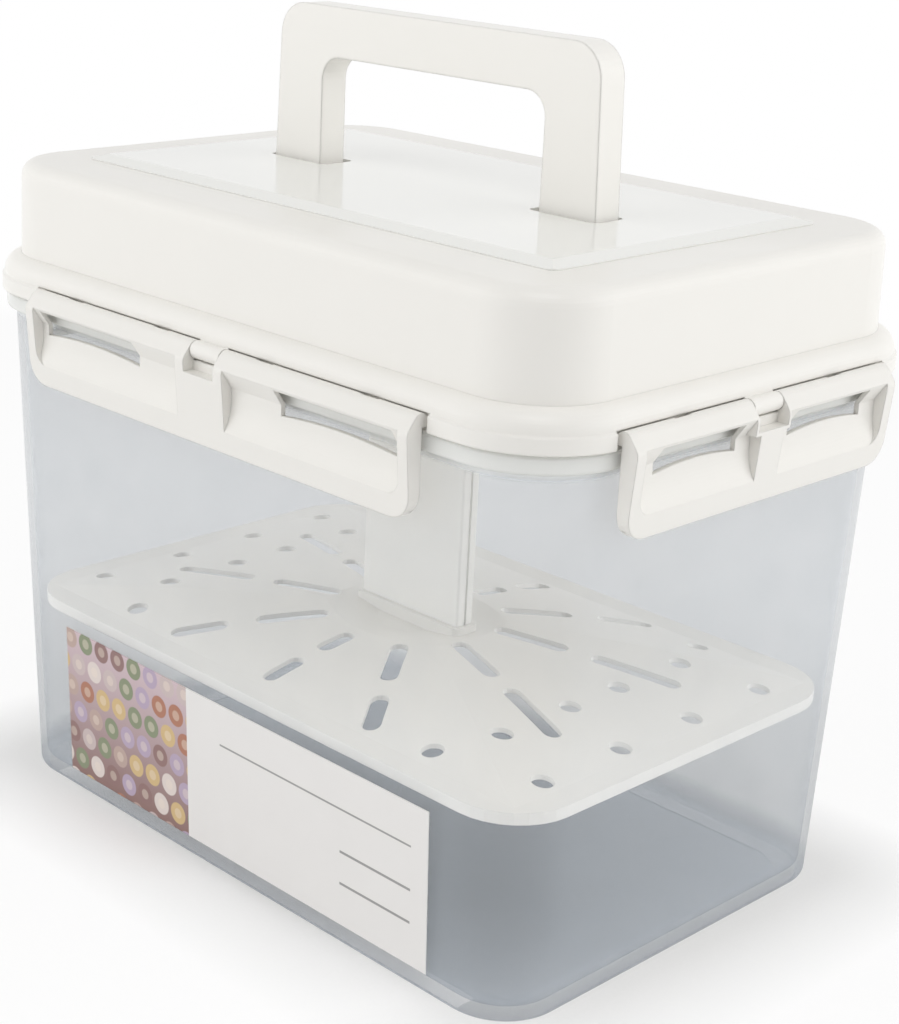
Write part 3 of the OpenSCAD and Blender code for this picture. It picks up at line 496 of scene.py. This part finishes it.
def disc_print(tree, x, z):
    """Colour of a pattern of offset discs on a soft ground, from places in metres."""
    upward = maths(tree, "DIVIDE", z, DISC_CELL)
    row = maths(tree, "FLOOR", upward)
    shift = maths(tree, "MULTIPLY", maths(tree, "PINGPONG", row, 1.0), 0.5)
    across = maths(tree, "ADD", maths(tree, "DIVIDE", x, DISC_CELL), shift)
    column = maths(tree, "FLOOR", across)
    du = maths(tree, "SUBTRACT", maths(tree, "FRACT", across), 0.5)
    dv = maths(tree, "SUBTRACT", maths(tree, "FRACT", upward), 0.5)
    away = maths(tree, "SQRT", maths(tree, "ADD", maths(tree, "MULTIPLY", du, du),
                                     maths(tree, "MULTIPLY", dv, dv)))
    cell = add(tree, "ShaderNodeCombineXYZ", {0: column, 1: row, 2: 0.0}).outputs[0]
    pick = add(tree, "ShaderNodeTexWhiteNoise", {"Vector": cell}, noise_dimensions="3D")
    inks = add(tree, "ShaderNodeValToRGB", {0: pick.outputs["Value"]})
    stops = inks.color_ramp.elements
    inks.color_ramp.interpolation = "CONSTANT"
    for i, ink in enumerate(DISC_INKS):
        start = i / len(DISC_INKS)
        stop = stops[0] if i == 0 else stops.new(start)
        stop.position, stop.color = start, colour(*ink)
    height = ramp(tree, z, LABEL_LOW.z, LABEL_HIGH.z)
    ground = mix_colours(tree, height, *(colour(*shade) for shade in GROUND_SHADES))
    disc = between(tree, away, -1.0, DISC_SIZE, DISC_BLUR)
    core = between(tree, away, -1.0, CORE_SIZE, DISC_BLUR)
    printed = mix_colours(tree, disc, ground, inks.outputs[0])
    return mix_colours(tree, maths(tree, "MULTIPLY", core, CORE_STRENGTH), printed,
                       colour(*CORE_SHADE))


print("label in mm:", [round((b - a) * 1000, 1) for a, b in zip(LABEL_LOW, LABEL_HIGH)])

# %% Label film
PICTURE_END = -0.0195          # metres, where the pattern meets the white part
FILM_SHADES = ((232, 230, 228), (228, 226, 224))
FILM_ROUGH, FILM_ROUGH_SPREAD = 0.34, 0.12
LINE_SHADE, LINE_STRENGTH = (92, 92, 92), 0.7
LINE_BLUR = 0.00005
RULED_LINES = (                # height, left end, right end and half the thickness, in metres
    (0.0432, -0.004, 0.076, 0.0003),
    (0.0300, 0.048, 0.076, 0.0004),
    (0.0200, 0.048, 0.076, 0.0004),
)


def label_film():
    material, tree, output = new_material("label film")
    place = add(tree, "ShaderNodeTexCoord").outputs["Object"]
    axes = add(tree, "ShaderNodeSeparateXYZ", {0: place})
    x, z = axes.outputs["X"], axes.outputs["Z"]
    cloud = add(tree, "ShaderNodeTexNoise",
                {"Vector": place, "Scale": 60.0, "Detail": 3.0}).outputs["Fac"]
    white = mix_colours(tree, cloud, *(colour(*shade) for shade in FILM_SHADES))
    lines = 0.0
    for level, start, end, half in RULED_LINES:
        line = maths(tree, "MULTIPLY", between(tree, z, level - half, level + half, LINE_BLUR),
                     between(tree, x, start, end))
        lines = maths(tree, "ADD", lines, line)
    white = mix_colours(tree, maths(tree, "MULTIPLY", lines, LINE_STRENGTH, clamp=True), white,
                        colour(*LINE_SHADE))
    picture = maths(tree, "LESS_THAN", x, PICTURE_END)
    edges = group_node(tree, SOFT_EDGES, Radius_mm=0.12)
    surface_of(tree, output, {
        "Base Color": mix_colours(tree, picture, white, disc_print(tree, x, z)),
        "Roughness": maths(tree, "MULTIPLY_ADD", cloud, FILM_ROUGH_SPREAD, FILM_ROUGH),
        "Normal": relief(tree, cloud, edges, 0.3, THICK_STEP)})
    return material


label_print = label_film()
print("made", label_print.name, "with", len(RULED_LINES), "ruled lines")

# %% [markdown]
# ## Giving each part its plastic
#
# Every solid came with one plain material. Its slot is filled with the finished one, which leaves
# the mesh alone.

# %% Assign the finishes
FINISH = {
    "tub": tub_clear, "label": label_print, "lid_shell": lid_white, "deck_plate": deck_white,
    "lid_seal": seal_white, "inner_cover": inner_white, "column_seal": seal_white,
    "latch_front": flap_white, "latch_rear": flap_white, "latch_left": flap_white,
    "latch_right": flap_white, "handle": handle_white, "handle_yoke": inner_white,
    "press_column": column_white_with_painted_light, "press_plate": press_white_with_painted_light,
}
for name, finish in FINISH.items():
    parts[name].material_slots[0].material = finish
print("finished parts:", len(FINISH))

# %% [markdown]
# ## Floor and backdrop
#
# The studio is one large white sheet. For the camera it is mixed with a plain white glow, so that
# the paper looks white while the object's soft shadow stays on it, and no lamp has to be turned up.
# The glow is only for plain sight and for reflections. Under the tub, and wherever the paper is
# seen through the resin, it has to look as dark as it really is, so the glow fades out there.

# %% Floor
SHEET_REACH = 6.0                    # metres from the middle to each side
PAPER_SHADES = ((247, 247, 247), (243, 243, 243))
STAND = (0.105, 0.065)               # half the length and width that the tub stands on, in metres
SHADOW_REACH, SHADOW_GLOW = (0.010, 0.045), 0.88   # metres outside it, and the glow at their end
FAR_REACH = (0.1, 0.6)               # metres outside it, where the glow grows to its full share


def plain_sight(tree, rays):
    """1 for a camera ray that hasn't passed through any see-through face."""
    first = maths(tree, "LESS_THAN", rays.outputs["Transparent Depth"], 0.5)
    return maths(tree, "MULTIPLY", rays.outputs["Is Camera Ray"], first)


def mirrored_sight(tree, rays):
    """1 for a ray that a gloss or glass sends on."""
    return maths(tree, "MAXIMUM", rays.outputs["Is Glossy Ray"],
                 rays.outputs["Is Transmission Ray"])


def distance_outside(tree, place):
    """Metres from a place on the floor to the rectangle that the tub stands on."""
    axes = add(tree, "ShaderNodeSeparateXYZ", {0: place})
    dx, dy = (maths(tree, "MAXIMUM",
                    maths(tree, "SUBTRACT", maths(tree, "ABSOLUTE", axes.outputs[axis]), half), 0.0)
              for axis, half in zip("XY", STAND))
    return maths(tree, "SQRT", maths(tree, "ADD", maths(tree, "MULTIPLY", dx, dx),
                                     maths(tree, "MULTIPLY", dy, dy)))


def floor_sheet():
    far = SHEET_REACH
    mesh = bpy.data.meshes.new("floor sheet")
    corners = [(-far, -far, 0), (far, -far, 0), (far, far, 0), (-far, far, 0)]
    mesh.from_pydata(corners, [], [(0, 1, 2, 3)])
    sheet = bpy.data.objects.new("floor_sheet", mesh)
    scene.collection.objects.link(sheet)
    material, tree, output = new_material("floor paper")
    place = add(tree, "ShaderNodeTexCoord").outputs["Object"]
    fibre = add(tree, "ShaderNodeTexNoise",
                {"Vector": place, "Scale": 900.0, "Detail": 2.0}).outputs["Fac"]
    paper = mix_colours(tree, fibre, *(colour(*shade) for shade in PAPER_SHADES))
    matt = add(tree, "ShaderNodeBsdfDiffuse", {"Color": paper})
    glow = add(tree, "ShaderNodeEmission", {"Color": (1, 1, 1, 1), "Strength": 1.0})
    rays = add(tree, "ShaderNodeLightPath")
    seen = maths(tree, "MAXIMUM", plain_sight(tree, rays), mirrored_sight(tree, rays))
    off = distance_outside(tree, place)
    share = maths(tree, "MAXIMUM", ramp(tree, off, *SHADOW_REACH, high=SHADOW_GLOW),
                  ramp(tree, off, *FAR_REACH))
    both = add(tree, "ShaderNodeMixShader",
               {0: maths(tree, "MULTIPLY", seen, share), 1: matt.outputs[0], 2: glow.outputs[0]})
    tree.links.new(both.outputs[0], output.inputs["Surface"])
    mesh.materials.append(material)
    return sheet


print("floor:", [round(side, 1) for side in floor_sheet().dimensions], "m")

# %% [markdown]
# ## Light
#
# The object stands as if in a tent of white cloth: soft, even light comes from every side, except
# from the tent's opening in front of the tub's near corner, which is dark. That opening is what
# draws the soft upright shade on the rounded corner of the lid. It is low, so upright walls see it
# and what leans back sees the cloth above it. The world is the tent, with a fixed direction for its
# opening. Two soft boxes shine through the cloth from the left and the right, low enough to reach
# under the lid into the tub, and a weaker one above the near corner lights the round shoulders. The
# two low ones would show as glaring patches in the polished deck, so reflections leave them out.
# The camera and polished surfaces see pure white cloth all round, without the opening, and through
# the tub one sees it as bright as it really is.

# %% World: the tent
TENT_LIGHT, OPENING_LIGHT = 0.585, 0.0
OPENING_TOWARDS = Vector((1, -1, 0)).normalized()
OPENING_SIDES = (0.72, 0.90)     # cosines of the angle to its middle, where the cloth ends
OPENING_HEIGHTS = (0.65, 0.40)   # sines of the angle above the floor, where the cloth ends


def studio_world():
    world = bpy.data.worlds.new("tent")
    scene.world = world
    world.use_nodes = True
    tree = world.node_tree
    tree.nodes.clear()
    sight = add(tree, "ShaderNodeTexCoord").outputs["Generated"]
    level = add(tree, "ShaderNodeVectorMath", {0: sight, 1: (1, 1, 0)}, operation="MULTIPLY")
    level = add(tree, "ShaderNodeVectorMath", {0: level.outputs[0]}, operation="NORMALIZE")
    aim = add(tree, "ShaderNodeVectorMath", {0: level.outputs[0], 1: OPENING_TOWARDS},
              operation="DOT_PRODUCT").outputs["Value"]
    height = add(tree, "ShaderNodeSeparateXYZ", {0: sight}).outputs["Z"]
    rays = add(tree, "ShaderNodeLightPath")
    mirrored = mirrored_sight(tree, rays)
    white = maths(tree, "MAXIMUM", mirrored, plain_sight(tree, rays))
    cloth = ramp(tree, white, 0.0, 1.0, TENT_LIGHT, 1.0)
    inside = maths(tree, "MULTIPLY", ramp(tree, aim, *OPENING_SIDES),
                   ramp(tree, height, *OPENING_HEIGHTS))
    gap = maths(tree, "MULTIPLY_ADD", inside, OPENING_LIGHT - 1.0, 1.0)
    in_sight = maths(tree, "MAXIMUM", mirrored, rays.outputs["Is Camera Ray"])
    strength = maths(tree, "MULTIPLY", cloth, maths(tree, "MAXIMUM", gap, in_sight))
    sky = add(tree, "ShaderNodeBackground", {"Color": (1, 1, 1, 1), "Strength": strength})
    add(tree, "ShaderNodeOutputWorld", {"Surface": sky.outputs[0]})
    return world


print("world:", studio_world().name, "with", TENT_LIGHT, "of full white")

# %% Soft boxes
LAMP_AIM = Vector((0, 0, 0.12))   # metres, the middle of the object
SOFT_BOXES = (
    # name, azimuth in degrees (0 in front, 90 to the right), height, distance and size in metres,
    # watts, and whether reflections show it
    ("left soft box", -32, 0.55, 1.2, (1.4, 1.0), 7.0, False),
    ("right soft box", 122, 0.55, 1.2, (1.4, 1.0), 7.6, False),
    ("upper soft box", 45, 1.15, 0.85, (0.6, 0.6), 2.8, True),
)


def soft_box(name, azimuth, height, distance, size, watts, mirrored):
    """An area lamp that points at the object."""
    angle = math.radians(azimuth)
    data = bpy.data.lights.new(name, "AREA")
    data.shape, data.size, data.size_y = "RECTANGLE", size[0], size[1]
    data.energy = watts
    lamp = bpy.data.objects.new(name, data)
    scene.collection.objects.link(lamp)
    lamp.location = (math.sin(angle) * distance, -math.cos(angle) * distance, height)
    lamp.rotation_euler = (LAMP_AIM - lamp.location).to_track_quat("-Z", "Y").to_euler()
    lamp.visible_glossy = mirrored


for row in SOFT_BOXES:
    soft_box(*row)
